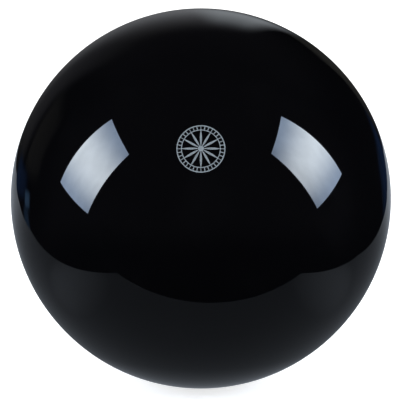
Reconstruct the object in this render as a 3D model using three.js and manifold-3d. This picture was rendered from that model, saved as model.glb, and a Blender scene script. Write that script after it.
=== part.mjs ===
// Competition ball for rhythmic gymnastics: an inflated ball with a high-gloss black cover, a separate airtight
// bladder, a plugged needle valve and a one-colour printed emblem.
//
// Frame: millimetres, +Z up, origin at the ball's centre. +Y is the valve's axis and points out of the ball.
// The emblem faces -Y and is raised above the equator.
import * as THREE from "three";
import { mergeVertices } from "three/addons/utils/BufferGeometryUtils.js";
import Module from "manifold-3d";

const wasm = await Module();
wasm.setup();

// The wall: a cover bonded over a bladder.
const BALL_RADIUS = 95;
const COVER_WALL = 2.1;
const BLADDER_WALL = 1.2;
const BOND_GAP = 0.2;
const COVER_INSIDE = BALL_RADIUS - COVER_WALL;
const BLADDER_OUTSIDE = COVER_INSIDE - BOND_GAP;
const BLADDER_INSIDE = BLADDER_OUTSIDE - BLADDER_WALL;

// The valve: a rubber housing through the wall, a self-sealing core in its pocket and a removable plug.
const VALVE_HOLE = 5;
const HOLE_EDGE = 0.5;
const NECK_RADIUS = 4.7;
const NECK_TOP = 93.3;
const FLANGE_RADIUS = 13;
const FLANGE_THICKNESS = 1.5;
const FLANGE_OUTSIDE = BLADDER_INSIDE - BOND_GAP;
const FLANGE_INSIDE = FLANGE_OUTSIDE - FLANGE_THICKNESS;
const POCKET_WALL = 2.3;
const POCKET_END = 71.5;
const CORE_CLEARANCE = 0.15;
const CORE_RADIUS = 2.85;
const CORE_HEAD_RADIUS = 3.65;
const CORE_HEAD_THICKNESS = 1.2;
const CORE_TIP = 74;
const LIPS_TOP = 79;
const LIPS_RADIUS = 1.6;
const NEEDLE_RADIUS = 0.8;
const SLIT_WIDTH = 0.3;
const SLIT_LENGTH = 1.8;
const SOCKET_RADIUS = 1.7;
const SOCKET_END = 84.5;
const PLUG_HEAD_RADIUS = 4.4;
const PLUG_HEAD_THICKNESS = 1.1;
const PLUG_SEAT_GAP = 0.15;
const PLUG_STEM_RADIUS = 1.3;
const PLUG_RIB = 0.2;
const PLUG_STEM_LENGTH = 8;
const NOTCH_WIDTH = 1.6;
const NOTCH_DEPTH = 0.9;

// The patch that holds the housing's flange to the bladder.
const PATCH_RADIUS = 20;
const PATCH_THICKNESS = 0.9;
const PATCH_STEP_GAP = 0.3;

// The pad opposite the valve, whose width is worked out from the valve's weight.
const PAD_THICKNESS = 2;

// The emblem: two rings with ticks between them, around petals on a hub, as one film of ink.
const EMBLEM_RADIUS = 11;
const EMBLEM_RING = 0.5;
const EMBLEM_INNER_RING = 8.9;
const EMBLEM_HUB = 1.3;
const EMBLEM_LINE = 0.4;
const EMBLEM_TICKS = 36;
const EMBLEM_PETALS = 12;
const PETAL_WIDTH = 0.95;
const PETAL_END_WIDTH = 0.3;
const PETAL_STEPS = 8;
const EMBLEM_ELEVATION = 22;
const INK_GAP = 0.1;
const INK_THICKNESS = 0.2;

const VINYL_DENSITY = 1.1e-3;
const RUBBER_DENSITY = 1.2e-3;

const BALL_SEGMENTS = 48;
const BALL_STEPS = 24;
const VALVE_SEGMENTS = 24;

const gloss_cover = new THREE.MeshStandardMaterial({ color: 0x050507, roughness: 0.05, metalness: 0 });
const butyl = new THREE.MeshStandardMaterial({ color: 0x26241f, roughness: 0.7, metalness: 0 });
const black_rubber = new THREE.MeshStandardMaterial({ color: 0x141414, roughness: 0.6, metalness: 0 });
const tan_rubber = new THREE.MeshStandardMaterial({ color: 0x9a7442, roughness: 0.65, metalness: 0 });
const white_plastic = new THREE.MeshStandardMaterial({ color: 0xdcdad2, roughness: 0.4, metalness: 0 });
const silver_ink = new THREE.MeshStandardMaterial({ color: 0x87919a, roughness: 0.45, metalness: 0 });

const point = (across, along) => new THREE.Vector2(across, along);

// The point of a circle about the ball's centre that stands `across` from the valve's axis, on the valve's side.
const onCircle = (radius, across) => point(across, Math.sqrt(radius ** 2 - across ** 2));

// Points along a meridian, from one angle to another, both measured at the ball's centre from +Y.
function meridian(radius, from, to, steps) {
  return Array.from({ length: steps + 1 }, (_, i) => {
    const angle = from + ((to - from) * i) / steps;
    return point(radius * Math.sin(angle), radius * Math.cos(angle));
  });
}

// A piece of a meridian given by its two distances from the valve's axis.
function ringOfCircle(radius, fromAcross, toAcross, steps) {
  return meridian(radius, Math.asin(fromAcross / radius), Math.asin(toAcross / radius), steps);
}

// A profile turned about the valve's axis. The profile runs up its outer side.
const turned = (profile, segments) => new THREE.LatheGeometry(profile, segments);

// A profile that doesn't reach the axis is closed on itself.
const turnedRing = (profile, segments) => turned([...profile, profile[0]], segments);

function toSolid(geometry) {
  const bare = geometry.clone();
  bare.deleteAttribute("normal");
  bare.deleteAttribute("uv");
  const merged = mergeVertices(bare, 1e-4);
  return new wasm.Manifold(
    new wasm.Mesh({
      numProp: 3,
      vertProperties: merged.attributes.position.array,
      triVerts: new Uint32Array(merged.index.array),
    }),
  );
}

function toGeometry(solid) {
  const { vertProperties, triVerts } = solid.getMesh();
  const geometry = new THREE.BufferGeometry();
  geometry.setAttribute("position", new THREE.BufferAttribute(vertProperties, 3));
  geometry.setIndex(new THREE.BufferAttribute(triVerts, 1));
  geometry.computeVertexNormals();
  return geometry;
}

function part(name, geometry, material) {
  const mesh = new THREE.Mesh(geometry, material);
  mesh.name = name;
  return mesh;
}

// A hollow ball with the valve's hole through its wall and a small bevel at the hole's outer edge. The steps stand
// at the same angles on every wall, so that walls inside one another stay parallel.
function hollowBall(outside, inside, bevel) {
  const steps = meridian(1, Math.PI, 0, BALL_STEPS).slice(0, -1);
  const outer = steps.map((at) => at.clone().multiplyScalar(outside));
  const inner = steps.map((at) => at.clone().multiplyScalar(inside)).reverse();
  const rim = onCircle(outside, VALVE_HOLE + bevel);
  const edge = bevel > 0 ? [point(VALVE_HOLE, onCircle(outside, VALVE_HOLE).y - bevel)] : [];
  return turned([...outer, rim, ...edge, onCircle(inside, VALVE_HOLE), ...inner], BALL_SEGMENTS);
}

// The housing's neck fills the wall's hole, its flange lies inside the bladder, and its pocket points inwards.
function housing() {
  const pocket = CORE_RADIUS + CORE_CLEARANCE;
  const counterbore = CORE_HEAD_RADIUS + CORE_CLEARANCE;
  const shoulder = NECK_TOP - CORE_HEAD_THICKNESS - CORE_CLEARANCE;
  const outside = pocket + POCKET_WALL;
  return turnedRing(
    [
      point(outside - 0.6, POCKET_END),
      point(outside, POCKET_END + 0.6),
      ...ringOfCircle(FLANGE_INSIDE, outside, FLANGE_RADIUS, 4),
      ...ringOfCircle(FLANGE_OUTSIDE, FLANGE_RADIUS, NECK_RADIUS, 4),
      point(NECK_RADIUS, NECK_TOP),
      point(counterbore, NECK_TOP),
      point(counterbore, shoulder),
      point(pocket, shoulder),
      point(pocket, POCKET_END),
    ],
    VALVE_SEGMENTS,
  );
}

// The core's head is level with the neck. Its bore takes the plug's stem, then a needle, and ends in two lips that a
// slit parts.
function core() {
  const headUnderside = NECK_TOP - CORE_HEAD_THICKNESS;
  const body = turned(
    [
      point(0, CORE_TIP),
      point(LIPS_RADIUS, CORE_TIP),
      point(CORE_RADIUS, LIPS_TOP),
      point(CORE_RADIUS, headUnderside),
      point(CORE_HEAD_RADIUS, headUnderside),
      point(CORE_HEAD_RADIUS, NECK_TOP),
      point(SOCKET_RADIUS, NECK_TOP),
      point(SOCKET_RADIUS, SOCKET_END),
      point(NEEDLE_RADIUS, SOCKET_END),
      point(NEEDLE_RADIUS, LIPS_TOP),
      point(0, LIPS_TOP),
    ],
    VALVE_SEGMENTS,
  );
  const slitTop = LIPS_TOP + 1;
  const slitBottom = CORE_TIP - 1;
  const slit = new THREE.BoxGeometry(SLIT_LENGTH, slitTop - slitBottom, SLIT_WIDTH);
  slit.translate(0, (slitTop + slitBottom) / 2, 0);
  return toGeometry(toSolid(body).subtract(toSolid(slit)));
}

// The plug's flat head lies just under the ball's surface. Two ribs seal its stem, and a notch lets a pin lift it.
function plug() {
  const seat = NECK_TOP + PLUG_SEAT_GAP;
  const face = seat + PLUG_HEAD_THICKNESS;
  const tip = seat - PLUG_STEM_LENGTH;
  const rib = (at) => [
    point(PLUG_STEM_RADIUS, at - 0.4),
    point(PLUG_STEM_RADIUS + PLUG_RIB, at),
    point(PLUG_STEM_RADIUS, at + 0.4),
  ];
  const body = turned(
    [
      point(0, tip),
      point(PLUG_STEM_RADIUS - 0.6, tip),
      point(PLUG_STEM_RADIUS, tip + 0.8),
      ...rib(tip + 2),
      ...rib(tip + 4.5),
      point(PLUG_STEM_RADIUS, seat),
      point(PLUG_HEAD_RADIUS, seat),
      point(PLUG_HEAD_RADIUS, face - 0.3),
      point(PLUG_HEAD_RADIUS - 0.3, face),
      point(0, face),
    ],
    VALVE_SEGMENTS,
  );
  const notch = new THREE.BoxGeometry(NOTCH_WIDTH, 2 * PLUG_HEAD_THICKNESS, 2 * NOTCH_DEPTH);
  notch.translate(0, face, PLUG_HEAD_RADIUS);
  return toGeometry(toSolid(body).subtract(toSolid(notch)));
}

// The patch lies on the flange's inner side and steps down onto the bladder around it.
function patch() {
  const pocketSide = CORE_RADIUS + CORE_CLEARANCE + POCKET_WALL + PATCH_STEP_GAP;
  const stepOutside = FLANGE_RADIUS + PATCH_STEP_GAP;
  const stepInside = stepOutside + PATCH_THICKNESS;
  const overFlange = FLANGE_INSIDE - BOND_GAP;
  const onBladder = BLADDER_INSIDE - BOND_GAP;
  return turnedRing(
    [
      ...ringOfCircle(overFlange - PATCH_THICKNESS, pocketSide, stepInside, 4),
      ...ringOfCircle(onBladder - PATCH_THICKNESS, stepInside, PATCH_RADIUS, 3),
      ...ringOfCircle(onBladder, PATCH_RADIUS, stepOutside, 3),
      ...ringOfCircle(overFlange, stepOutside, pocketSide, 4),
    ],
    VALVE_SEGMENTS,
  );
}

// Mass times distance along +Y from the ball's centre, in gram millimetres.
function momentAlongValve(geometry, density) {
  const faces = geometry.index ? geometry.toNonIndexed() : geometry;
  const at = faces.getAttribute("position");
  const [a, b, c] = [new THREE.Vector3(), new THREE.Vector3(), new THREE.Vector3()];
  let moment = 0;
  for (let i = 0; i < at.count; i += 3) {
    [a, b, c].forEach((corner, k) => corner.fromBufferAttribute(at, i + k));
    const volume = a.dot(b.clone().cross(c)) / 6;
    moment += (volume * (a.y + b.y + c.y)) / 4;
  }
  return 1000 * density * moment;
}

// A round pad bonded inside the bladder at -Y, as wide as it takes to cancel the moment of everything else.
function balancePad(momentToCancel) {
  const outside = BLADDER_INSIDE - BOND_GAP;
  const inside = outside - PAD_THICKNESS;
  const perSquaredSine = (1000 * RUBBER_DENSITY * Math.PI * (outside ** 4 - inside ** 4)) / 4;
  const halfAngle = Math.asin(Math.sqrt(momentToCancel / perSquaredSine));
  return turned(
    [
      ...meridian(outside, Math.PI, Math.PI - halfAngle, 4),
      ...meridian(inside, Math.PI - halfAngle, Math.PI, 4),
    ],
    VALVE_SEGMENTS,
  );
}

// Bends a film that was drawn flat, in x and z with its thickness along y, onto the ball about its +Y point.
function bendOntoBall(geometry) {
  const at = geometry.getAttribute("position");
  for (let i = 0; i < at.count; i++) {
    const across = Math.hypot(at.getX(i), at.getZ(i));
    const angle = across / BALL_RADIUS;
    const radius = BALL_RADIUS + at.getY(i);
    const out = across > 0 ? (radius * Math.sin(angle)) / across : 1;
    at.setXYZ(i, at.getX(i) * out, radius * Math.cos(angle), at.getZ(i) * out);
  }
  return geometry;
}

// A leaf along +Z, widest in its middle.
function petal(from, to, low) {
  const side = Array.from({ length: PETAL_STEPS + 1 }, (_, i) => {
    const part = i / PETAL_STEPS;
    const width = PETAL_END_WIDTH + (PETAL_WIDTH - PETAL_END_WIDTH) * Math.sin(Math.PI * part);
    return new THREE.Vector2(width / 2, from + (to - from) * part);
  });
  const otherSide = side.map((at) => new THREE.Vector2(-at.x, at.y)).reverse();
  const leaf = new THREE.Shape([...side, ...otherSide]);
  const solid = new THREE.ExtrudeGeometry(leaf, { depth: INK_THICKNESS, bevelEnabled: false });
  return solid.rotateX(Math.PI / 2).translate(0, low + INK_THICKNESS, 0);
}

function emblem() {
  const low = INK_GAP;
  const high = INK_GAP + INK_THICKNESS;
  const ring = (inside, outside) =>
    toSolid(
      turnedRing(
        [point(inside, low), point(outside, low), point(outside, high), point(inside, high)],
        2 * EMBLEM_TICKS,
      ),
    );
  const tick = (from, to) => {
    const bar = new THREE.BoxGeometry(EMBLEM_LINE, INK_THICKNESS, to - from);
    return bar.translate(0, (low + high) / 2, (from + to) / 2);
  };
  const around = (count, make) =>
    Array.from({ length: count }, (_, i) => toSolid(make().rotateY((2 * Math.PI * i) / count)));
  const hub = toSolid(
    turned([point(0, low), point(EMBLEM_HUB, low), point(EMBLEM_HUB, high), point(0, high)], VALVE_SEGMENTS),
  );
  const overlap = EMBLEM_LINE / 2;
  const innerRingEdge = EMBLEM_INNER_RING - EMBLEM_LINE;
  const flat = [
    ring(EMBLEM_RADIUS - EMBLEM_RING, EMBLEM_RADIUS),
    ring(innerRingEdge, EMBLEM_INNER_RING),
    ...around(EMBLEM_TICKS, () => tick(EMBLEM_INNER_RING - overlap, EMBLEM_RADIUS - EMBLEM_RING + overlap)),
    ...around(EMBLEM_PETALS, () => petal(EMBLEM_HUB - overlap, innerRingEdge + overlap, low)),
  ].reduce((joined, piece) => joined.add(piece), hub);
  return bendOntoBall(toGeometry(flat));
}

const cover = hollowBall(BALL_RADIUS, COVER_INSIDE, HOLE_EDGE);
const bladder = hollowBall(BLADDER_OUTSIDE, BLADDER_INSIDE, 0);
const valveHousing = housing();
const valveCore = core();
const valvePatch = patch();
const valvePlug = plug();

const valveMoment = [
  momentAlongValve(cover, VINYL_DENSITY),
  momentAlongValve(valvePlug, VINYL_DENSITY),
  ...[bladder, valveHousing, valveCore, valvePatch].map((piece) => momentAlongValve(piece, RUBBER_DENSITY)),
].reduce((sum, moment) => sum + moment, 0);

const printedEmblem = part("printed_emblem", emblem(), silver_ink);
printedEmblem.rotation.x = Math.PI - THREE.MathUtils.degToRad(EMBLEM_ELEVATION);

const ball = new THREE.Group();
ball.add(
  part("outer_cover", cover, gloss_cover),
  part("inner_bladder", bladder, butyl),
  part("valve_housing", valveHousing, black_rubber),
  part("valve_core", valveCore, tan_rubber),
  part("valve_patch", valvePatch, butyl),
  part("valve_plug", valvePlug, white_plastic),
  part("balance_pad", balancePad(valveMoment), black_rubber),
  printedEmblem,
);

export default ball;
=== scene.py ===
"""Dresses a ball for rhythmic gymnastics: gloss cover, bladder, plugged needle valve and printed emblem.

Everything is in metres, in the ball's own frame: +Z is up, the origin is the ball's centre, +Y is the valve's
axis and points out of the ball, and the emblem faces -Y.
"""

import logging
import math
from collections.abc import Iterable
from dataclasses import dataclass, field
from enum import Enum

import bmesh
import bpy
from mathutils import Matrix, Vector


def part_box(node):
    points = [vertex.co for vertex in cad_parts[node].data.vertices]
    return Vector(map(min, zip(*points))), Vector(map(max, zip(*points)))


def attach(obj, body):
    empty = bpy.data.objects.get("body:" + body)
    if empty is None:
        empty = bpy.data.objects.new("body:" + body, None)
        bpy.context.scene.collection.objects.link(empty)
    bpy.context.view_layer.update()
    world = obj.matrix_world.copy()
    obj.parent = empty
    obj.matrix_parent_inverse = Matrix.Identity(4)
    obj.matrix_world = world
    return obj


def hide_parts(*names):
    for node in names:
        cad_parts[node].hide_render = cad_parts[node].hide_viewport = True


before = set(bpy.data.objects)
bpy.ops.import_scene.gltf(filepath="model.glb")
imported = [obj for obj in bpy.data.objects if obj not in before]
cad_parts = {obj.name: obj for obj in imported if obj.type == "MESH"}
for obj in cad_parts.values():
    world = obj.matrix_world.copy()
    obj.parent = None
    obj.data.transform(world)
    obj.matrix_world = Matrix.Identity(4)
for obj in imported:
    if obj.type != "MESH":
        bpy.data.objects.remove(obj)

log = logging.getLogger("gymnastics_ball")

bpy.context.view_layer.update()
MM = 0.001
SHARP_ANGLE = math.radians(35)
ON_AXIS = 1e-7

Colour = tuple[float, float, float]
WHITE: Colour = (1.0, 1.0, 1.0)


class Body(Enum):
    """The two bodies that pieces ride on."""

    BALL = "ball"
    PLUG = "plug"


class Slot(Enum):
    """The names of the material slots."""

    COVER = "gloss_black_vinyl"
    BLADDER = "bladder_rubber"
    BLACK_RUBBER = "black_rubber"
    TAN_RUBBER = "tan_rubber"
    PLUG = "white_plastic"
    INK = "silver_ink"


class Seen(Enum):
    """The kinds of ray that a stage object or a light can be seen by."""

    CAMERA = "camera"
    DIFFUSE = "diffuse"
    GLOSSY = "glossy"
    SHADOW = "shadow"


# Shaders


class Signal:
    """A node's output, on which Python's operators add Math nodes."""

    def __init__(self, shader: "Shader", socket: bpy.types.NodeSocket) -> None:
        """Wraps a socket.

        Args:
            shader: the shader that the socket belongs to.
            socket: the output socket.
        """
        self.shader = shader
        self.socket = socket

    def _math(self, operation: str, first: "Value", second: "Value" = 0.0) -> "Signal":
        """Adds one Math node.

        Args:
            operation: the Math node's operation.
            first: its first value.
            second: its second value.

        Returns:
            The node's output.
        """
        return self.shader.node("ShaderNodeMath", {"operation": operation}, {0: first, 1: second})

    def __add__(self, other: "Value") -> "Signal":
        """Adds a value."""
        return self._math("ADD", self, other)

    def __radd__(self, other: "Value") -> "Signal":
        """Adds this to a value."""
        return self._math("ADD", other, self)

    def __sub__(self, other: "Value") -> "Signal":
        """Takes a value away."""
        return self._math("SUBTRACT", self, other)

    def __rsub__(self, other: "Value") -> "Signal":
        """Takes this away from a value."""
        return self._math("SUBTRACT", other, self)

    def __mul__(self, other: "Value") -> "Signal":
        """Multiplies by a value."""
        return self._math("MULTIPLY", self, other)

    def __rmul__(self, other: "Value") -> "Signal":
        """Multiplies a value by this."""
        return self._math("MULTIPLY", other, self)

    def __pow__(self, other: "Value") -> "Signal":
        """Raises this to a power."""
        return self._math("POWER", self, other)

    def __abs__(self) -> "Signal":
        """Drops the sign."""
        return self._math("ABSOLUTE", self)

    def at_least(self, other: "Value") -> "Signal":
        """Gives the larger of this and a value."""
        return self._math("MAXIMUM", self, other)

    def smooth(self, low: float, high: float) -> "Signal":
        """Gives 0 where this is at low, 1 where it is at high, and a smooth step between them.

        Args:
            low: the value that becomes 0.
            high: the value that becomes 1.

        Returns:
            The stepped signal.
        """
        settings = {"interpolation_type": "SMOOTHSTEP"}
        inputs = {"Value": self, "From Min": low, "From Max": high}
        return self.shader.node("ShaderNodeMapRange", settings, inputs)


Value = Signal | float | tuple[float, ...]


class Shader:
    """A node tree that is built from Python expressions."""

    def __init__(self, tree: bpy.types.NodeTree) -> None:
        """Empties a node tree.

        Args:
            tree: the tree of a material or of the world.
        """
        self.tree = tree
        tree.nodes.clear()

    def node(
        self,
        kind: str,
        settings: dict[str, object] | None = None,
        inputs: dict[str | int, Value] | None = None,
        output: str | int = 0,
    ) -> Signal:
        """Adds a node, sets it and feeds it.

        Args:
            kind: the node's type.
            settings: its properties, which are set first.
            inputs: a value or a link for each named or numbered input.
            output: the output that is wanted.

        Returns:
            The wanted output.
        """
        made = self.tree.nodes.new(kind)
        for name, setting in (settings or {}).items():
            setattr(made, name, setting)
        for name, value in (inputs or {}).items():
            self.feed(made.inputs[name], value)
        return Signal(self, made.outputs[output])

    def feed(self, socket: bpy.types.NodeSocket, value: Value) -> None:
        """Links or sets an input.

        Args:
            socket: the input.
            value: a signal to link, or a number or colour to set.
        """
        if isinstance(value, Signal):
            self.tree.links.new(value.socket, socket)
        elif isinstance(value, tuple) and socket.type == "RGBA":
            socket.default_value = (*value[:3], 1.0)
        else:
            socket.default_value = value

    def mix(self, factor: Value, first: Value, second: Value) -> Signal:
        """Mixes two colours.

        Args:
            factor: 0 for the first colour, 1 for the second.
            first: the first colour.
            second: the second colour.

        Returns:
            The mixed colour.
        """
        return self.node("ShaderNodeMix", {"data_type": "RGBA"}, {0: factor, 6: first, 7: second}, 2)

    def vector(self, operation: str, first: Value, second: Value) -> Signal:
        """Adds one Vector Math node.

        Args:
            operation: the node's operation.
            first: its first vector or colour.
            second: its second one, or one signal for all three parts.

        Returns:
            The node's output.
        """
        return self.node("ShaderNodeVectorMath", {"operation": operation}, {0: first, 1: second})

    def place(self) -> Signal:
        """Gives the point's place in the object's own units, which are metres on the ball's pieces."""
        return self.node("ShaderNodeTexCoord", output="Object")

    def part_of_place(self, axis: str) -> Signal:
        """Gives one of the place's X, Y and Z."""
        return self.node("ShaderNodeSeparateXYZ", inputs={"Vector": self.place()}, output=axis)

    def noise(self, size: float, detail: float = 2.0, roughness: float = 0.5, seed: float = 0.0) -> Signal:
        """Adds even noise over the piece.

        Args:
            size: the size of its blotches, in the object's own units.
            detail: how many finer layers it has.
            roughness: how strong the finer layers are.
            seed: a shift that makes a different pattern.

        Returns:
            The noise, about 0.5.
        """
        shifted = self.vector("ADD", self.place(), (seed, seed, seed))
        inputs = {"Vector": shifted, "Scale": 1.0 / size, "Detail": detail, "Roughness": roughness}
        return self.node("ShaderNodeTexNoise", inputs=inputs)

    def bump(self, height: Signal, depth: float) -> Signal:
        """Turns a height into a normal.

        Args:
            height: the height, from 0 to 1.
            depth: what a height of 1 stands for, in metres.

        Returns:
            The bumped normal.
        """
        return self.node("ShaderNodeBump", inputs={"Height": height, "Distance": depth, "Strength": 1.0})

    def end(self, kind: str, shader: Signal) -> None:
        """Adds the tree's output node.

        Args:
            kind: the output node's type.
            shader: the shader that feeds its surface.
        """
        out = self.tree.nodes.new(kind)
        self.feed(out.inputs["Surface"], shader)


# Finishes


@dataclass(frozen=True)
class Finish:
    """A surface finish. Each kind of finish says what its surface is."""

    name: str

    def surface(self, shader: Shader) -> Signal:
        """Gives the finish's shader.

        Args:
            shader: the tree that the nodes go in.

        Returns:
            The finished shader.
        """
        raise NotImplementedError

    def material(self) -> bpy.types.Material:
        """Makes the finish's material."""
        made = bpy.data.materials.new(self.name)
        made.use_nodes = True
        shader = Shader(made.node_tree)
        shader.end("ShaderNodeOutputMaterial", self.surface(shader))
        return made


@dataclass(frozen=True)
class GlossVinyl(Finish):
    """Polished black vinyl: near-black, mirror-bright, with a trace of orange peel and of handling."""

    colour: Colour = (0.0006, 0.0006, 0.0008)
    worn_colour: Colour = (0.0011, 0.0011, 0.0013)
    roughness: float = 0.022
    handled_roughness: float = 0.022
    dusty_roughness: float = 0.02
    handling_size: float = 28 * MM
    handling_share: float = 0.6
    dust_size: float = 0.9 * MM
    dust_share: float = 0.4
    peel_size: float = 11 * MM
    peel_depth: float = 0.0035 * MM
    ripple_size: float = 34 * MM
    ripple_depth: float = 0.012 * MM

    def surface(self, shader: Shader) -> Signal:
        """Gives the vinyl's shader.

        Args:
            shader: the tree that the nodes go in.

        Returns:
            The finished shader.
        """
        handling = shader.noise(self.handling_size, detail=5, roughness=0.65).smooth(0.48, 0.75)
        dust = shader.noise(self.dust_size, detail=2, seed=3.0).smooth(0.72, 0.8)
        peel = shader.noise(self.peel_size, detail=1, seed=1.0)
        ripple = shader.noise(self.ripple_size, detail=0, seed=2.0)
        height = peel * (self.peel_depth / self.ripple_depth) + ripple
        wear = handling * self.handling_share + dust * self.dust_share
        roughening = handling * self.handled_roughness + dust * self.dusty_roughness
        return shader.node(
            "ShaderNodeBsdfPrincipled",
            inputs={
                "Base Color": shader.mix(wear, self.colour, self.worn_colour),
                "Roughness": roughening + self.roughness,
                "IOR": 1.5,
                "Normal": shader.bump(height, self.ripple_depth),
            },
        )


@dataclass(frozen=True)
class MouldedRubber(Finish):
    """Moulded rubber with a fine grain, a bloom that pales it in patches, and some talc."""

    colour: Colour = (0.012, 0.012, 0.012)
    bloom: Colour = (0.03, 0.03, 0.029)
    roughness: float = 0.6
    bloom_size: float = 6 * MM
    bloom_share: float = 0.7
    bloom_roughness: float = 0.12
    grain_share: float = 0.15
    grain_size: float = 0.35 * MM
    grain_depth: float = 0.02 * MM
    talc: float = 0.0
    talc_colour: Colour = (0.6, 0.59, 0.56)
    talc_size: float = 1.6 * MM
    talc_roughness: float = 0.2

    def surface(self, shader: Shader) -> Signal:
        """Gives the rubber's shader.

        Args:
            shader: the tree that the nodes go in.

        Returns:
            The finished shader.
        """
        bloom = shader.noise(self.bloom_size, detail=6, roughness=0.7).smooth(0.35, 0.75)
        grain = shader.noise(self.grain_size, detail=3, roughness=0.6, seed=1.0)
        powder = shader.noise(self.talc_size, detail=8, roughness=0.8, seed=2.0).smooth(0.5, 0.85)
        rubber = shader.mix(bloom * self.bloom_share + grain * self.grain_share, self.colour, self.bloom)
        roughening = bloom * self.bloom_roughness + powder * (self.talc_roughness * self.talc)
        return shader.node(
            "ShaderNodeBsdfPrincipled",
            inputs={
                "Base Color": shader.mix(powder * self.talc, rubber, self.talc_colour),
                "Roughness": roughening + self.roughness,
                "IOR": 1.5,
                "Normal": shader.bump(grain, self.grain_depth),
            },
        )


@dataclass(frozen=True)
class MouldedPlastic(Finish):
    """Satin moulded plastic, faintly streaked by the flow and a little yellow where it is thick."""

    colour: Colour = (0.72, 0.7, 0.63)
    aged: Colour = (0.6, 0.55, 0.43)
    roughness: float = 0.36
    flow_size: float = 3.5 * MM
    flow_share: float = 0.5
    scuff_size: float = 0.7 * MM
    scuff_share: float = 0.3
    scuff_roughness: float = 0.16
    grain_size: float = 0.16 * MM
    grain_roughness: float = 0.05
    grain_depth: float = 0.006 * MM
    light_inside: float = 0.12
    light_reach: float = 0.8 * MM

    def surface(self, shader: Shader) -> Signal:
        """Gives the plastic's shader.

        Args:
            shader: the tree that the nodes go in.

        Returns:
            The finished shader.
        """
        flow = shader.noise(self.flow_size, detail=4, roughness=0.6).smooth(0.3, 0.8)
        grain = shader.noise(self.grain_size, detail=2, seed=1.0)
        scuff = shader.noise(self.scuff_size, detail=5, roughness=0.75, seed=2.0).smooth(0.55, 0.8)
        wear = flow * self.flow_share + scuff * self.scuff_share
        roughening = scuff * self.scuff_roughness + grain * self.grain_roughness
        return shader.node(
            "ShaderNodeBsdfPrincipled",
            inputs={
                "Base Color": shader.mix(wear, self.colour, self.aged),
                "Roughness": roughening + self.roughness,
                "IOR": 1.46,
                "Subsurface Weight": self.light_inside,
                "Subsurface Radius": (0.9, 0.8, 0.6),
                "Subsurface Scale": self.light_reach,
                "Normal": shader.bump(grain, self.grain_depth),
            },
        )


@dataclass(frozen=True)
class PadInk(Finish):
    """Silver-grey pad-printed ink: flat, with a fine metallic speckle and slightly uneven cover."""

    colour: Colour = (0.13, 0.148, 0.158)
    thin: Colour = (0.095, 0.11, 0.12)
    speckle: Colour = (0.185, 0.203, 0.214)
    roughness: float = 0.42
    cover_size: float = 1.3 * MM
    flake_size: float = 0.11 * MM
    flake_roughness: float = 0.12
    flake_height: float = 0.4
    film_depth: float = 0.006 * MM

    def surface(self, shader: Shader) -> Signal:
        """Gives the ink's shader.

        Args:
            shader: the tree that the nodes go in.

        Returns:
            The finished shader.
        """
        cover = shader.noise(self.cover_size, detail=5, roughness=0.65).smooth(0.35, 0.7)
        flake = shader.noise(self.flake_size, detail=2, roughness=0.7, seed=1.0)
        ink = shader.mix(cover, self.thin, self.colour)
        return shader.node(
            "ShaderNodeBsdfPrincipled",
            inputs={
                "Base Color": shader.mix(flake.smooth(0.55, 0.75), ink, self.speckle),
                "Roughness": flake * self.flake_roughness + self.roughness,
                "IOR": 1.5,
                "Normal": shader.bump(flake * self.flake_height + cover, self.film_depth),
            },
        )


@dataclass(frozen=True)
class PaleFloor(Finish):
    """A pale translucent floor with a very faint mottle, lit from below so that the shadow on it is light."""

    colour: Colour = (0.64, 0.64, 0.64)
    mottle: Colour = (0.61, 0.61, 0.615)
    mottle_size: float = 60 * MM
    light_below: float = 0.72

    def surface(self, shader: Shader) -> Signal:
        """Gives the floor's shader.

        Args:
            shader: the tree that the nodes go in.

        Returns:
            The finished shader.
        """
        mottle = shader.noise(self.mottle_size, detail=6, roughness=0.6)
        return shader.node(
            "ShaderNodeBsdfPrincipled",
            inputs={
                "Base Color": shader.mix(mottle.smooth(0.3, 0.7), self.colour, self.mottle),
                "Roughness": 0.9,
                "Specular IOR Level": 0.0,
                "Emission Color": WHITE,
                "Emission Strength": self.light_below,
            },
        )


@dataclass(frozen=True)
class Glow(Finish):
    """A surface that glows, brightest in its middle. It fades along its height, and at its edges where asked.

    The card that it is on runs from -1 to 1 in its own X and Y. lean is the X of its brightest line, slope is
    how much brighter its right-hand side is than its left, bow is how much dimmer both sides are, rim is how
    much brighter the very edges of the two sides are, and crease is how unevenly its cloth is lit.
    """

    middle: Colour = WHITE
    ends: Colour = WHITE
    soft_edge: float = 0.0
    fade: float = 2.1
    lean: float = 0.0
    slope: float = 0.0
    bow: float = 0.0
    rim: float = 0.0
    rim_from: float = 0.7
    crease: float = 0.0
    crease_size: float = 0.45

    def surface(self, shader: Shader) -> Signal:
        """Gives the glow's shader.

        Args:
            shader: the tree that the nodes go in.

        Returns:
            The finished shader.
        """
        x = shader.part_of_place("X")
        across = ((x - self.lean) * (1 / (1 - self.lean))).at_least((self.lean - x) * (1 / (1 + self.lean)))
        along = abs(shader.part_of_place("Y"))
        middle = (1.0 - along * along).at_least(0.0) ** self.fade
        strength = x * self.slope - x * x * self.bow + 1.0
        strength = strength * (across.smooth(self.rim_from, 1.0) * middle * self.rim + 1.0)
        if self.crease > 0:
            unevenness = (shader.noise(self.crease_size, detail=3) - 0.5) * (2 * self.crease)
            strength = strength * (unevenness + 1.0)
        colour = shader.vector("MULTIPLY", shader.mix(middle, self.ends, self.middle), strength)
        light = shader.node("ShaderNodeEmission", inputs={"Color": colour})
        if self.soft_edge <= 0:
            return light
        inside = 1.0 - self.soft_edge
        cover = (1.0 - across.smooth(inside, 1.0)) * (1.0 - along.smooth(inside, 1.0))
        clear = shader.node("ShaderNodeBsdfTransparent")
        return shader.node("ShaderNodeMixShader", inputs={0: cover, 1: clear, 2: light})


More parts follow.
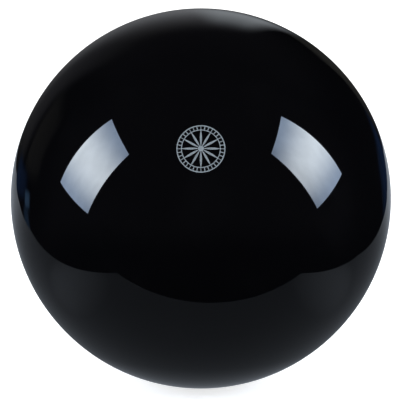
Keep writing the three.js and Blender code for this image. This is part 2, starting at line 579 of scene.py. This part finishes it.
@dataclass(frozen=True)
class DimRoom(Finish):
    """The dark room around the set: a trace of light in front and overhead, and less behind and below.

    front_ends, front_starts and overhead_starts are the stretches of Y or Z, as parts of the way to the wall,
    over which those lights go out or come on.
    """

    least: Colour = (0.003, 0.003, 0.0035)
    most: Colour = (0.024, 0.023, 0.026)
    front_ends: tuple[float, float] = (-0.15, 0.45)
    front_starts: tuple[float, float] = (-0.42, -0.1)
    overhead_starts: tuple[float, float] = (0.4, 0.9)
    overhead: float = 0.75

    def surface(self, shader: Shader) -> Signal:
        """Gives the room's shader.

        Args:
            shader: the tree that the nodes go in.

        Returns:
            The finished shader.
        """
        height = shader.part_of_place("Z")
        front = (1.0 - shader.part_of_place("Y").smooth(*self.front_ends)) * height.smooth(*self.front_starts)
        lit = front.at_least(height.smooth(*self.overhead_starts) * self.overhead)
        colour = shader.mix(lit, self.least, self.most)
        return shader.node("ShaderNodeEmission", inputs={"Color": colour})


@dataclass(frozen=True)
class LitTable(Finish):
    """The table as the ball mirrors it: dim in front and brighter behind, most of all on the right.

    It has a bright patch at each side of the ball and one under it.
    """

    colour: Colour = (0.9, 1.0, 1.14)
    front: float = 0.125
    behind_from: float = 0.05
    lean: float = 0.4
    rise: float = 0.42
    most: float = 0.4
    patch: float = 0.13
    patch_x: float = 0.17
    patch_y: float = -0.06
    patch_size: float = 0.075
    under: float = 0.14
    under_y: float = 0.01
    under_size: float = 0.06

    def surface(self, shader: Shader) -> Signal:
        """Gives the table's shader.

        Args:
            shader: the tree that the nodes go in.

        Returns:
            The finished shader.
        """
        across = shader.part_of_place("X")
        x = abs(across)
        y = shader.part_of_place("Y")
        extra = self.most - self.front
        behind = (y - self.behind_from).smooth(0.0, extra / self.rise) * extra
        behind = behind * (across * self.lean + 1.0)
        away_x = (x - self.patch_x) * (1 / self.patch_size)
        away_y = (y - self.patch_y) * (1 / self.patch_size)
        patch = (1.0 - away_x * away_x - away_y * away_y).at_least(0.0)
        under_x = x * (1 / self.under_size)
        under_y = (y - self.under_y) * (1 / self.under_size)
        under = (1.0 - under_x * under_x - under_y * under_y).at_least(0.0)
        strength = behind + patch * self.patch + under * self.under + self.front
        colour = shader.vector("MULTIPLY", self.colour, strength)
        return shader.node("ShaderNodeEmission", inputs={"Color": colour})


GLOSS_VINYL = GlossVinyl("gloss_black_vinyl")
BLADDER_RUBBER = MouldedRubber("bladder_rubber", (0.02, 0.018, 0.014), (0.045, 0.04, 0.032), 0.7, talc=0.3)
BLACK_RUBBER = MouldedRubber("black_rubber", (0.009, 0.009, 0.009), (0.022, 0.022, 0.021), 0.55)
TAN_RUBBER = MouldedRubber("tan_rubber", (0.33, 0.185, 0.062), (0.44, 0.29, 0.13), 0.55, talc=0.08)
WHITE_PLASTIC = MouldedPlastic("white_plastic")
SILVER_INK = PadInk("silver_ink")


# Mesh work


@dataclass(frozen=True)
class Corner:
    """A corner of a turned profile: its distance from the +Y axis, its place along it and its rounding."""

    across: float
    along: float
    fillet: float = 0.0

    @property
    def point(self) -> Vector:
        """The corner as a 2-D point."""
        return Vector((self.across, self.along))


def meridian(radius: float, start: float, end: float, steps: int) -> list[Corner]:
    """Gives corners along a circle about the ball's centre.

    Args:
        radius: the circle's radius.
        start: the angle from +Y at which it starts, in radians.
        end: the angle at which it ends.
        steps: the number of steps.

    Returns:
        The corners, both ends included.
    """
    angles = (start + (end - start) * step / steps for step in range(steps + 1))
    return [Corner(max(0.0, radius * math.sin(a)), radius * math.cos(a)) for a in angles]


def band(radius: float, start: float, end: float, steps: int) -> list[Corner]:
    """Gives corners along a circle about the ball's centre, on the valve's side.

    Args:
        radius: the circle's radius.
        start: the distance from the +Y axis at which it starts.
        end: the distance at which it ends.
        steps: the number of steps.

    Returns:
        The corners, both ends included.
    """
    return meridian(radius, math.asin(start / radius), math.asin(end / radius), steps)


def softened(corners: list[Corner], fillet: float, *which: int) -> list[Corner]:
    """Rounds some corners of a run.

    Args:
        corners: the run.
        fillet: the rounding that they get.
        which: the places in the run of the corners to round.

    Returns:
        The run with those corners rounded.
    """
    run = list(corners)
    for index in which:
        run[index] = Corner(run[index].across, run[index].along, fillet)
    return run


def rounded(corners: list[Corner], closed: bool, steps: int = 6) -> list[Vector]:
    """Works out a profile's points, with its rounded corners as arcs.

    Args:
        corners: the profile's corners in order.
        closed: whether the last corner joins the first.
        steps: the steps of each rounded corner.

    Returns:
        The points of the outline.
    """
    outline: list[Vector] = []
    count = len(corners)
    for index, corner in enumerate(corners):
        at_end = not closed and index in (0, count - 1)
        if corner.fillet <= 0 or at_end:
            outline.append(corner.point)
            continue
        back = (corners[index - 1].point - corner.point).normalized()
        ahead = (corners[(index + 1) % count].point - corner.point).normalized()
        half = back.angle(ahead) / 2
        reach = corner.fillet / math.tan(half)
        centre = corner.point + (back + ahead).normalized() * (corner.fillet / math.sin(half))
        first = corner.point + back * reach - centre
        last = corner.point + ahead * reach - centre
        turn = first.angle(last)
        for step in range(steps + 1):
            part = step / steps
            blend = first * math.sin((1 - part) * turn) + last * math.sin(part * turn)
            outline.append(centre + blend / math.sin(turn))
    return outline


def smooth_faces(mesh: bpy.types.Mesh) -> None:
    """Shades a mesh smooth, and keeps its sharp edges."""
    mesh.polygons.foreach_set("use_smooth", [True] * len(mesh.polygons))
    mesh.set_sharp_from_angle(angle=SHARP_ANGLE)


def mesh_object(name: str, shape: bmesh.types.BMesh) -> bpy.types.Object:
    """Makes a smooth-shaded object of a bmesh, and frees the bmesh.

    Args:
        name: the object's name.
        shape: its shape.

    Returns:
        The object, linked to the scene.
    """
    bmesh.ops.recalc_face_normals(shape, faces=shape.faces)
    mesh = bpy.data.meshes.new(name)
    shape.to_mesh(mesh)
    shape.free()
    smooth_faces(mesh)
    made = bpy.data.objects.new(name, mesh)
    bpy.context.scene.collection.objects.link(made)
    return made


def turned(name: str, corners: list[Corner], segments: int, closed: bool = False) -> bpy.types.Object:
    """Turns a profile about the +Y axis.

    Args:
        name: the object's name.
        corners: the profile, which starts and ends on the axis unless it is closed.
        segments: the steps around the axis.
        closed: whether the profile closes on itself.

    Returns:
        The turned solid.
    """
    shape = bmesh.new()
    turns = [2 * math.pi * k / segments for k in range(segments)]
    rings: list[list[bmesh.types.BMVert]] = []
    for across, along in rounded(corners, closed):
        if across < ON_AXIS:
            rings.append([shape.verts.new((0.0, along, 0.0))] * segments)
        else:
            places = ((across * math.cos(t), along, across * math.sin(t)) for t in turns)
            rings.append([shape.verts.new(place) for place in places])
    pairs = list(zip(rings, rings[1:] + rings[:1])) if closed else list(zip(rings, rings[1:]))
    for lower, upper in pairs:
        for k in range(segments):
            after = (k + 1) % segments
            corner_verts = [lower[k], lower[after], upper[after], upper[k]]
            distinct = list(dict.fromkeys(corner_verts))
            if len(distinct) > 2:
                shape.faces.new(distinct)
    return mesh_object(name, shape)


def block(name: str, size: Vector, centre: Vector) -> bpy.types.Object:
    """Makes a rectangular cutter.

    Args:
        name: the cutter's name.
        size: its sides.
        centre: its middle.

    Returns:
        The cutter.
    """
    shape = bmesh.new()
    bmesh.ops.create_cube(shape, size=1.0, matrix=Matrix.Translation(centre) @ Matrix.Diagonal((*size, 1.0)))
    return mesh_object(name, shape)


def cut(piece: bpy.types.Object, cutter: bpy.types.Object) -> None:
    """Cuts a shape out of a piece, and removes the cutter.

    Args:
        piece: the piece that is cut.
        cutter: the closed shape that is taken away.
    """
    boolean = piece.modifiers.new("cut", "BOOLEAN")
    boolean.operation = "DIFFERENCE"
    boolean.solver = "EXACT"
    boolean.object = cutter
    graph = bpy.context.evaluated_depsgraph_get()
    result = bpy.data.meshes.new_from_object(piece.evaluated_get(graph))
    piece.modifiers.clear()
    piece.data = result
    smooth_faces(result)
    bpy.data.objects.remove(cutter)


def finish_piece(piece: bpy.types.Object, finish: Finish, body: Body, node: str) -> None:
    """Dresses a piece and fixes it to the frame.

    Args:
        piece: the piece.
        finish: its finish.
        body: the body that it rides on.
        node: the CAD node that it stands for.
    """
    piece.data.materials.clear()
    piece.data.materials.append(finish.material())
    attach(piece, body.value)
    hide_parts(node)
    log.info("%s: %d faces, rides on %s", piece.name, len(piece.data.polygons), body.value)


# The ball's sub-assemblies


@dataclass
class Wall:
    """The ball's wall: the gloss cover and the bladder bonded inside it."""

    radius: float
    cover: float = 2.1 * MM
    bladder: float = 1.2 * MM
    bond: float = 0.2 * MM
    hole: float = 5 * MM
    lip: float = 0.55 * MM
    segments: int = 192

    def hollow_ball(
        self, name: str, outside: float, inside: float, lip: float, segments: int
    ) -> bpy.types.Object:
        """Makes a hollow ball with the valve's hole in it.

        Args:
            name: the object's name.
            outside: its outer radius.
            inside: its inner radius.
            lip: the rounding of the hole's outer edge.
            segments: the steps around the valve's axis.

        Returns:
            The hollow ball.
        """
        steps = segments // 2
        outer = meridian(outside, math.pi, math.asin(self.hole / outside), steps)
        inner = meridian(inside, math.asin(self.hole / inside), math.pi, steps // 2)
        return turned(name, softened(outer, lip, -1) + softened(inner, 0.2 * MM, 0), segments)

    def build(self) -> None:
        """Makes and dresses the cover and the bladder."""
        inside = self.radius - self.cover
        cover = self.hollow_ball("cover_shell", self.radius, inside, self.lip, self.segments)
        finish_piece(cover, GLOSS_VINYL, Body.BALL, "outer_cover")
        outside = inside - self.bond
        bladder = self.hollow_ball(
            "bladder_shell", outside, outside - self.bladder, 0.2 * MM, self.segments // 2
        )
        finish_piece(bladder, BLADDER_RUBBER, Body.BALL, "inner_bladder")


@dataclass
class Valve:
    """The needle valve: housing, self-sealing core, patch and plug, all turned about the +Y axis."""

    neck_top: float
    neck: float = 4.7 * MM
    flange: float = 13 * MM
    flange_outside: float = 91.3 * MM
    flange_thickness: float = 1.5 * MM
    pocket_wall: float = 2.3 * MM
    pocket_end: float = 71.5 * MM
    clearance: float = 0.15 * MM
    core: float = 2.85 * MM
    core_head: float = 3.65 * MM
    core_head_thickness: float = 1.2 * MM
    core_tip: float = 74 * MM
    lips_top: float = 79 * MM
    lips: float = 1.6 * MM
    needle: float = 0.8 * MM
    slit: Vector = field(default_factory=lambda: Vector((1.8, 7.0, 0.3)) * MM)
    socket: float = 1.7 * MM
    socket_end: float = 84.5 * MM
    patch: float = 20 * MM
    patch_thickness: float = 0.9 * MM
    patch_gap: float = 0.3 * MM
    bond: float = 0.2 * MM
    segments: int = 72

    def build(self) -> None:
        """Makes and dresses the four pieces of the valve."""
        finish_piece(self.housing(), BLACK_RUBBER, Body.BALL, "valve_housing")
        finish_piece(self.core_piece(), TAN_RUBBER, Body.BALL, "valve_core")
        finish_piece(self.patch_piece(), BLADDER_RUBBER, Body.BALL, "valve_patch")
        plug = Plug(self.neck_top, self.clearance).build()
        finish_piece(plug, WHITE_PLASTIC, Body.PLUG, "valve_plug")

    def housing(self) -> bpy.types.Object:
        """Makes the housing, whose neck fills the wall's hole and whose pocket holds the core."""
        pocket = self.core + self.clearance
        counterbore = self.core_head + self.clearance
        shoulder = self.neck_top - self.core_head_thickness - self.clearance
        outside = pocket + self.pocket_wall
        inner_face = band(self.flange_outside - self.flange_thickness, outside, self.flange, 6)
        outer_face = band(self.flange_outside, self.flange, self.neck, 6)
        corners = [
            Corner(outside, self.pocket_end, 0.8 * MM),
            *softened(softened(inner_face, 0.8 * MM, 0), 0.5 * MM, -1),
            *softened(softened(outer_face, 0.5 * MM, 0), 0.4 * MM, -1),
            Corner(self.neck, self.neck_top, 0.35 * MM),
            Corner(counterbore, self.neck_top, 0.2 * MM),
            Corner(counterbore, shoulder, 0.15 * MM),
            Corner(pocket, shoulder, 0.15 * MM),
            Corner(pocket, self.pocket_end, 0.3 * MM),
        ]
        return turned("valve_housing_boot", corners, self.segments, closed=True)

    def core_piece(self) -> bpy.types.Object:
        """Makes the core, whose bore takes the plug or a needle and ends in two lips that a slit parts."""
        underside = self.neck_top - self.core_head_thickness
        corners = [
            Corner(0.0, self.core_tip),
            Corner(self.lips, self.core_tip, 0.4 * MM),
            Corner(self.core, self.lips_top, 0.8 * MM),
            Corner(self.core, underside, 0.1 * MM),
            Corner(self.core_head, underside, 0.15 * MM),
            Corner(self.core_head, self.neck_top, 0.3 * MM),
            Corner(self.socket, self.neck_top, 0.35 * MM),
            Corner(self.socket, self.socket_end, 0.3 * MM),
            Corner(self.needle, self.socket_end, 0.2 * MM),
            Corner(self.needle, self.lips_top, 0.2 * MM),
            Corner(0.0, self.lips_top),
        ]
        piece = turned("valve_core_insert", corners, self.segments)
        middle = (self.lips_top + self.core_tip) / 2
        cut(piece, block("slit", self.slit, Vector((0.0, middle, 0.0))))
        return piece

    def patch_piece(self) -> bpy.types.Object:
        """Makes the patch, which lies on the flange and steps down onto the bladder around it."""
        pocket_side = self.core + self.clearance + self.pocket_wall + self.patch_gap
        step_outside = self.flange + self.patch_gap
        step_inside = step_outside + self.patch_thickness
        over_flange = self.flange_outside - self.flange_thickness - self.bond
        on_bladder = self.flange_outside
        corners = [
            *softened(band(over_flange - self.patch_thickness, pocket_side, step_inside, 6), 0.3 * MM, 0, -1),
            *softened(band(on_bladder - self.patch_thickness, step_inside, self.patch, 5), 0.3 * MM, 0, -1),
            *softened(band(on_bladder, self.patch, step_outside, 5), 0.3 * MM, 0),
            *softened(band(over_flange, step_outside, pocket_side, 6), 0.2 * MM, -1),
        ]
        return turned("valve_patch_washer", corners, self.segments, closed=True)


@dataclass
class Plug:
    """The valve's plug: a flat head with a lifting notch, and a stem with two sealing ribs."""

    neck_top: float
    seat_gap: float
    head: float = 4.4 * MM
    head_thickness: float = 1.1 * MM
    stem: float = 1.3 * MM
    rib: float = 0.2 * MM
    rib_places: tuple[float, ...] = (2 * MM, 4.5 * MM)
    rib_crest: float = 0.1 * MM
    rib_foot: float = 0.4 * MM
    length: float = 8 * MM
    taper: float = 0.5 * MM
    taper_length: float = 0.8 * MM
    groove: float = 3.2 * MM
    groove_mouth: float = 0.35 * MM
    groove_floor: float = 0.15 * MM
    groove_depth: float = 0.22 * MM
    notch: Vector = field(default_factory=lambda: Vector((1.6, 2.2, 1.8)) * MM)
    segments: int = 72

    def build(self) -> bpy.types.Object:
        """Makes the plug."""
        seat = self.neck_top + self.seat_gap
        face = seat + self.head_thickness
        tip = seat - self.length
        corners = [
            Corner(0.0, tip),
            Corner(self.stem - self.taper, tip, 0.3 * MM),
            Corner(self.stem, tip + self.taper_length, 0.4 * MM),
        ]
        for place in self.rib_places:
            corners += self.sealing_rib(tip + place)
        corners += [
            Corner(self.stem, seat, 0.25 * MM),
            Corner(self.head, seat, 0.2 * MM),
            Corner(self.head, face, 0.3 * MM),
            Corner(self.groove + self.groove_mouth, face, 0.1 * MM),
            Corner(self.groove + self.groove_floor, face - self.groove_depth, 0.1 * MM),
            Corner(self.groove - self.groove_floor, face - self.groove_depth, 0.1 * MM),
            Corner(self.groove - self.groove_mouth, face, 0.1 * MM),
            Corner(0.0, face),
        ]
        piece = turned("valve_plug_stopper", corners, self.segments)
        cut(piece, block("notch", self.notch, Vector((0.0, face, self.head))))
        return piece

    def sealing_rib(self, place: float) -> list[Corner]:
        """Gives the corners of one sealing rib of the stem.

        Args:
            place: the rib's place along the axis.

        Returns:
            Its corners, from the tip's side to the head's.
        """
        crest = self.stem + self.rib
        return [
            Corner(self.stem, place - self.rib_foot, 0.15 * MM),
            Corner(crest, place - self.rib_crest, 0.08 * MM),
            Corner(crest, place + self.rib_crest, 0.08 * MM),
            Corner(self.stem, place + self.rib_foot, 0.15 * MM),
        ]


@dataclass
class BalancePad:
    """The rubber pad inside the bladder, opposite the valve."""

    rim: float
    outside: float = 91.3 * MM
    thickness: float = 2 * MM
    segments: int = 72

    def build(self) -> None:
        """Makes and dresses the pad."""
        half = math.asin(self.rim / self.outside)
        inside = self.outside - self.thickness
        corners = [
            *softened(meridian(self.outside, math.pi, math.pi - half, 8), 0.3 * MM, -1),
            *softened(meridian(inside, math.pi - half, math.pi, 8), 0.7 * MM, 0),
        ]
        pad = turned("balance_pad_disc", corners, self.segments)
        finish_piece(pad, BLACK_RUBBER, Body.BALL, "balance_pad")


@dataclass
class Emblem:
    """The printed emblem: two rings with ticks between them, around petals on a hub, as one film.

    The film is laid out in rows from its hub outwards, and in columns around it. Each tick or petal is the
    first columns after its own left edge, and the columns up to the next are open except in the rings. Where
    only petals are inked, the other ticks' columns are kept narrow and share the gaps between the petals.
    """

    ball: float
    radius: float = 11 * MM
    ring: float = 0.5 * MM
    inner_ring: float = 8.9 * MM
    hub: float = 1.3 * MM
    line: float = 0.4 * MM
    petal_width: float = 0.95 * MM
    petal_end_width: float = 0.3 * MM
    ticks: int = 36
    ticks_per_petal: int = 3
    line_columns: int = 4
    open_columns: int = 4
    kept_half: float = 0.05
    row_height: float = 0.45 * MM
    elevation: float = math.radians(22)
    lift: float = 0.012 * MM
    thickness: float = 0.03 * MM

    def rows(self) -> list[tuple[float, bool, bool]]:
        """Lays out the rows.

        Returns:
            Each row's outer radius, whether it is inked all round, and whether only petals cross it.
        """
        inner_edge = self.inner_ring - self.line
        outer_edge = self.radius - self.ring
        zones = (
            (0.0, self.hub, True, False),
            (self.hub, inner_edge, False, True),
            (inner_edge, self.inner_ring, True, False),
            (self.inner_ring, outer_edge, False, False),
            (outer_edge, self.radius, True, False),
        )
        rows = []
        for start, end, inked, petals_only in zones:
            count = max(1, round((end - start) / self.row_height))
            rows += [(start + (end - start) * (k + 1) / count, inked, petals_only) for k in range(count)]
        return rows

    def petal_half(self, radius: float) -> float:
        """Gives half of a petal's width.

        Args:
            radius: the distance from the emblem's middle.

        Returns:
            Half the width there, or half a tick's outside the petals.
        """
        part = (radius - self.hub) / (self.inner_ring - self.line - self.hub)
        swell = math.sin(math.pi * part) if 0 < part < 1 else 0.0
        return (self.petal_end_width + (self.petal_width - self.petal_end_width) * swell) / 2

    def turns(self, radius: float) -> list[float]:
        """Gives the angles of the column edges at a radius.

        Args:
            radius: the distance from the emblem's middle.

        Returns:
            The angles, in radians.
        """
        pitch = 2 * math.pi / self.ticks
        reach = max(radius, self.hub)
        half_petal = math.asin(self.petal_half(radius) / reach)
        half_tick = math.asin(self.line / 2 / reach)
        lines: list[tuple[float, float]] = []
        for tick in range(self.ticks):
            petal, after = divmod(tick, self.ticks_per_petal)
            middle = petal * self.ticks_per_petal * pitch
            if after == 0:
                lines.append((middle, half_petal))
            elif radius < self.inner_ring - self.line / 2:
                gap = self.ticks_per_petal * pitch - 2 * half_petal
                lines.append((middle + half_petal + gap * after / self.ticks_per_petal, gap * self.kept_half))
            else:
                lines.append((tick * pitch, half_tick))
        angles: list[float] = []
        for tick, (middle, half) in enumerate(lines):
            ahead, ahead_half = lines[(tick + 1) % self.ticks]
            open_width = (ahead - ahead_half - middle - half) % (2 * math.pi)
            angles += [middle - half + 2 * half * k / self.line_columns for k in range(self.line_columns)]
            angles += [middle + half + open_width * k / self.open_columns for k in range(self.open_columns)]
        return angles

    def is_inked(self, column: int, inked: bool, petals_only: bool) -> bool:
        """Says whether one cell carries ink.

        Args:
            column: the cell's column.
            inked: whether its row is inked all round.
            petals_only: whether only petals cross its row.

        Returns:
            True if it does.
        """
        tick, place = divmod(column, self.line_columns + self.open_columns)
        on_line = place < self.line_columns and (not petals_only or tick % self.ticks_per_petal == 0)
        return inked or on_line

    def on_ball(self, across: float, turn: float, height: float) -> Vector:
        """Bends a flat point onto the ball and turns it to the emblem's place.

        Args:
            across: its distance from the emblem's middle.
            turn: its angle about it.
            height: its height over the cover.

        Returns:
            The point on the ball.
        """
        angle = across / self.ball
        radius = self.ball + height
        flat = radius * math.sin(angle)
        local = Vector((flat * math.sin(turn), radius * math.cos(angle), flat * math.cos(turn)))
        return Matrix.Rotation(math.pi - self.elevation, 3, "X") @ local

    def build(self) -> None:
        """Makes and dresses the emblem."""
        shape = bmesh.new()
        corners: dict[tuple[int, int, bool], bmesh.types.BMVert] = {}
        rows = self.rows()
        columns = self.ticks * (self.line_columns + self.open_columns)
        turns_at = [self.turns(self.hub)] + [self.turns(row[0]) for row in rows]

        def vert(ring: int, column: int, top: bool) -> bmesh.types.BMVert:
            """Gives the corner at a ring and column of the film's top or underside."""
            key = (ring, column % columns if ring else 0, top)
            if key not in corners:
                across = rows[ring - 1][0] if ring else 0.0
                height = self.lift + (self.thickness if top else 0.0)
                corners[key] = shape.verts.new(self.on_ball(across, turns_at[ring][key[1]], height))
            return corners[key]

        cells = {
            (row, column)
            for row, (_, inked, petals_only) in enumerate(rows)
            for column in range(columns)
            if self.is_inked(column, inked, petals_only)
        }
        for row, column in cells:
            around = [(row, column), (row + 1, column), (row + 1, column + 1), (row, column + 1)]
            beyond = [(row, column - 1), (row + 1, column), (row, column + 1), (row - 1, column)]
            for top in (True, False):
                shape.faces.new(dict.fromkeys(vert(*at, top) for at in around))
            for side in range(4):
                across_row, across_column = beyond[side]
                if (across_row, across_column % columns) in cells or across_row < 0:
                    continue
                first, last = around[side], around[(side + 1) % 4]
                upper = (vert(*first, True), vert(*last, True))
                shape.faces.new((*upper, vert(*last, False), vert(*first, False)))
        film = mesh_object("emblem_film", shape)
        finish_piece(film, SILVER_INK, Body.BALL, "printed_emblem")


# The studio


@dataclass
class Card:
    """A flat glowing card that stands around the ball and faces it.

    azimuth is measured from the camera's side towards +X, and elevation from the level of the ball's centre.
    As seen from behind the card, roll lifts its right-hand end and turn swings its face to the right.
    """

    name: str
    glow: Glow
    azimuth: float
    elevation: float
    width: float
    height: float
    distance: float = 1.3
    roll: float = 0.0
    turn: float = 0.0
    seen: frozenset[Seen] = frozenset({Seen.GLOSSY})

    def axes(self) -> tuple[Vector, Vector, Vector]:
        """Works out the card's own X and Y and the way from the ball to it.

        Returns:
            The three directions.
        """
        azimuth, elevation = math.radians(self.azimuth), math.radians(self.elevation)
        level = math.cos(elevation)
        outward = Vector((math.sin(azimuth) * level, -math.cos(azimuth) * level, math.sin(elevation)))
        facing = Matrix.Rotation(math.radians(-self.turn), 3, "Z") @ -outward
        right = facing.cross(Vector((0.0, 0.0, 1.0))).normalized()
        up = right.cross(facing)
        roll = Matrix.Rotation(math.radians(-self.roll), 3, facing)
        return roll @ right, roll @ up, outward

    def build(self) -> bpy.types.Object:
        """Makes the card.

        Returns:
            The card.
        """
        right, up, outward = self.axes()
        shape = bmesh.new()
        bmesh.ops.create_grid(shape, x_segments=1, y_segments=1, size=1.0)
        card = mesh_object(self.name, shape)
        turn = Matrix((right * self.width / 2, up * self.height / 2, right.cross(up))).transposed()
        card.matrix_world = Matrix.Translation(outward * self.distance) @ turn.to_4x4()
        card.data.materials.append(self.glow.material())
        set_seen(card, self.seen)
        return card


def set_seen(piece: bpy.types.Object, seen: Iterable[Seen]) -> None:
    """Says which rays see an object.

    Args:
        piece: the object.
        seen: the kinds of ray that see it; no other kind does.
    """
    for kind in Seen:
        setattr(piece, f"visible_{kind.value}", kind in seen)
    piece.visible_transmission = False
    piece.visible_volume_scatter = False


@dataclass
class Studio:
    """The floor, the lights, and the dark room and table that the ball mirrors."""

    ball: float
    softbox_middle: Colour = (12.3, 13.7, 15.2)
    softbox_ends: Colour = (4.3, 5.5, 7.5)
    daylight: float = 1.3
    floor_size: float = 40.0
    room_size: float = 5.0
    table_drop: float = 0.5 * MM
    table_left: tuple[tuple[float, float], ...] = (
        (-0.13, -0.143), (-0.37, 0.14), (-0.6, 0.55), (-0.72, 0.88), (-1.05, 1.6)
    )
    table_right: tuple[tuple[float, float], ...] = (
        (0.15, -0.118), (0.25, 0.03), (0.365, 0.3), (0.47, 0.6), (0.55, 0.78), (0.86, 1.65), (1.05, 2.4)
    )

    def build(self) -> None:
        """Sets the whole studio."""
        self.floor()
        self.world()
        self.room()
        self.table()
        for card in self.cards():
            card.build()
            log.info("studio: %s", card.name)

    def floor(self) -> None:
        """Lays the pale floor under the ball. The ball mirrors the table instead."""
        outline = [(-1, -1), (1, -1), (1, 1), (-1, 1)]
        floor = self.sheet("pale_floor", outline, self.floor_size / 2, -self.ball)
        floor.data.materials.append(PaleFloor("pale_floor").material())
        set_seen(floor, (Seen.CAMERA, Seen.DIFFUSE, Seen.SHADOW))

    def table(self) -> None:
        """Lays the small table that the ball mirrors."""
        outline = [*self.table_left[::-1], *self.table_right]
        table = self.sheet("mirrored_table", outline, 1.0, -self.ball - self.table_drop)
        table.data.materials.append(LitTable("lit_table").material())
        set_seen(table, (Seen.GLOSSY,))

    @staticmethod
    def sheet(name: str, outline: list[tuple[float, float]], scale: float, level: float) -> bpy.types.Object:
        """Makes a level sheet.

        Args:
            name: its name.
            outline: its corners in order.
            scale: what the corners are multiplied by.
            level: its height.

        Returns:
            The sheet.
        """
        shape = bmesh.new()
        shape.faces.new([shape.verts.new((x * scale, y * scale, level)) for x, y in outline])
        sheet = mesh_object(name, shape)
        return sheet

    def room(self) -> None:
        """Puts the dark room around the set."""
        shape = bmesh.new()
        bmesh.ops.create_icosphere(shape, subdivisions=4, radius=1.0)
        room = mesh_object("dark_room", shape)
        room.scale = (self.room_size,) * 3
        room.data.materials.append(DimRoom("dim_room").material())
        set_seen(room, (Seen.GLOSSY,))

    def world(self) -> None:
        """Lights the set evenly from all round. The ball mirrors the room instead."""
        world = bpy.data.worlds.new("studio")
        world.use_nodes = True
        shader = Shader(world.node_tree)
        light = shader.node("ShaderNodeBackground", inputs={"Color": WHITE, "Strength": self.daylight})
        shader.end("ShaderNodeOutputWorld", light)
        world.cycles_visibility.glossy = False
        bpy.context.scene.world = world

    def cards(self) -> list[Card]:
        """Lists the softboxes and the dim cards.

        Returns:
            The cards.
        """
        cloth = (self.softbox_middle, self.softbox_ends)
        left_cloth = Glow("left_softbox_cloth", *cloth, bow=0.13, rim=0.12, crease=0.16)
        right_cloth = Glow("right_softbox_cloth", *cloth, slope=0.13, bow=0.19, rim=0.13, crease=0.16)
        lit = frozenset({Seen.GLOSSY, Seen.DIFFUSE})
        left_glow = Glow("left_backdrop", (0.29, 0.3, 0.32), (0.2, 0.2, 0.21), soft_edge=1.0, lean=-0.45)
        far_glow = Glow("far_backdrop", (0.045, 0.045, 0.05), (0.03, 0.03, 0.03), soft_edge=0.5)
        beam = Glow("lit_backdrop", (0.53, 0.57, 0.61), (0.2, 0.22, 0.24), soft_edge=0.7)
        dim = Glow("dim_wall", (0.034, 0.033, 0.03), (0.03, 0.03, 0.028), soft_edge=0.5)
        blue = Glow("blue_wall", (0.011, 0.025, 0.068), (0.009, 0.02, 0.052), soft_edge=0.6)
        blue_spot = Glow("blue_gap", (0.1, 0.2, 0.36), (0.06, 0.13, 0.25), soft_edge=0.6)
        blue_trail = Glow("blue_trail", (0.035, 0.07, 0.13), (0.03, 0.06, 0.12), soft_edge=0.6)
        return [
            Card("left_softbox", left_cloth, -69.4, 19.1, 0.609, 0.925, roll=-26.8, turn=1.4, seen=lit),
            Card("right_softbox", right_cloth, 68.6, 21.8, 0.594, 0.962, roll=29.0, turn=-11.8, seen=lit),
            Card("far_backdrop", far_glow, -158, 25, 2.3, 2.9, distance=2.4),
            Card("left_backdrop", left_glow, -171.5, 26, 1.6, 2.9, distance=2.2, roll=6),
            Card("lit_backdrop", beam, 172.2, 28.8, 0.66, 1.88, distance=2.1, roll=8),
            Card("left_dim_wall", dim, -123, 14, 1.1, 1.3, distance=2.4),
            Card("right_dim_wall", dim, 160, 11, 0.65, 1.05, distance=2.4),
            Card("left_blue_wall", blue, -136, -2, 1.1, 0.4, distance=2.3),
            Card("left_blue_gap", blue_spot, -123.8, -5.0, 0.34, 0.25, distance=2.2),
            Card("left_blue_trail", blue_trail, -126, -10.5, 0.34, 0.34, distance=2.25),
            Card("right_blue_wall", blue, 145.5, -1.5, 1.0, 0.72, distance=2.3, roll=20),
        ]


@dataclass
class Camera:
    """A long lens that looks at the ball from the emblem's side and a little above."""

    ball: float
    lens: float = 150.0
    sensor: float = 36.0
    elevation: float = math.radians(8.4)
    fill: float = 0.9512
    reach: float = 100.0
    aim: Vector = field(default_factory=lambda: Vector((-0.45, 0.0, -0.8)) * MM)

    def build(self) -> None:
        """Makes the camera, at the distance at which the ball fills its part of the frame."""
        data = bpy.data.cameras.new("camera")
        data.lens = self.lens
        data.sensor_width = self.sensor
        data.clip_end = self.reach
        half_view = math.atan(self.fill * self.sensor / 2 / self.lens)
        distance = self.ball / math.sin(half_view)
        outward = Vector((0.0, -math.cos(self.elevation), math.sin(self.elevation)))
        camera = bpy.data.objects.new("camera", data)
        camera.location = outward * distance
        camera.rotation_euler = (self.aim - camera.location).to_track_quat("-Z", "Y").to_euler()
        bpy.context.scene.collection.objects.link(camera)
        bpy.context.scene.camera = camera


def main() -> None:
    """Builds the ball, then the studio around it."""
    logging.basicConfig(level=logging.INFO, format="%(name)s: %(message)s")
    scene = bpy.context.scene
    scene.view_settings.view_transform = "Standard"
    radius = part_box("outer_cover")[1][2]
    Wall(radius).build()
    Valve(neck_top=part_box("valve_housing")[1][1]).build()
    BalancePad(rim=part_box("balance_pad")[1][0]).build()
    Emblem(radius).build()
    Studio(radius).build()
    Camera(radius).build()


if __name__ == "__main__":
    main()
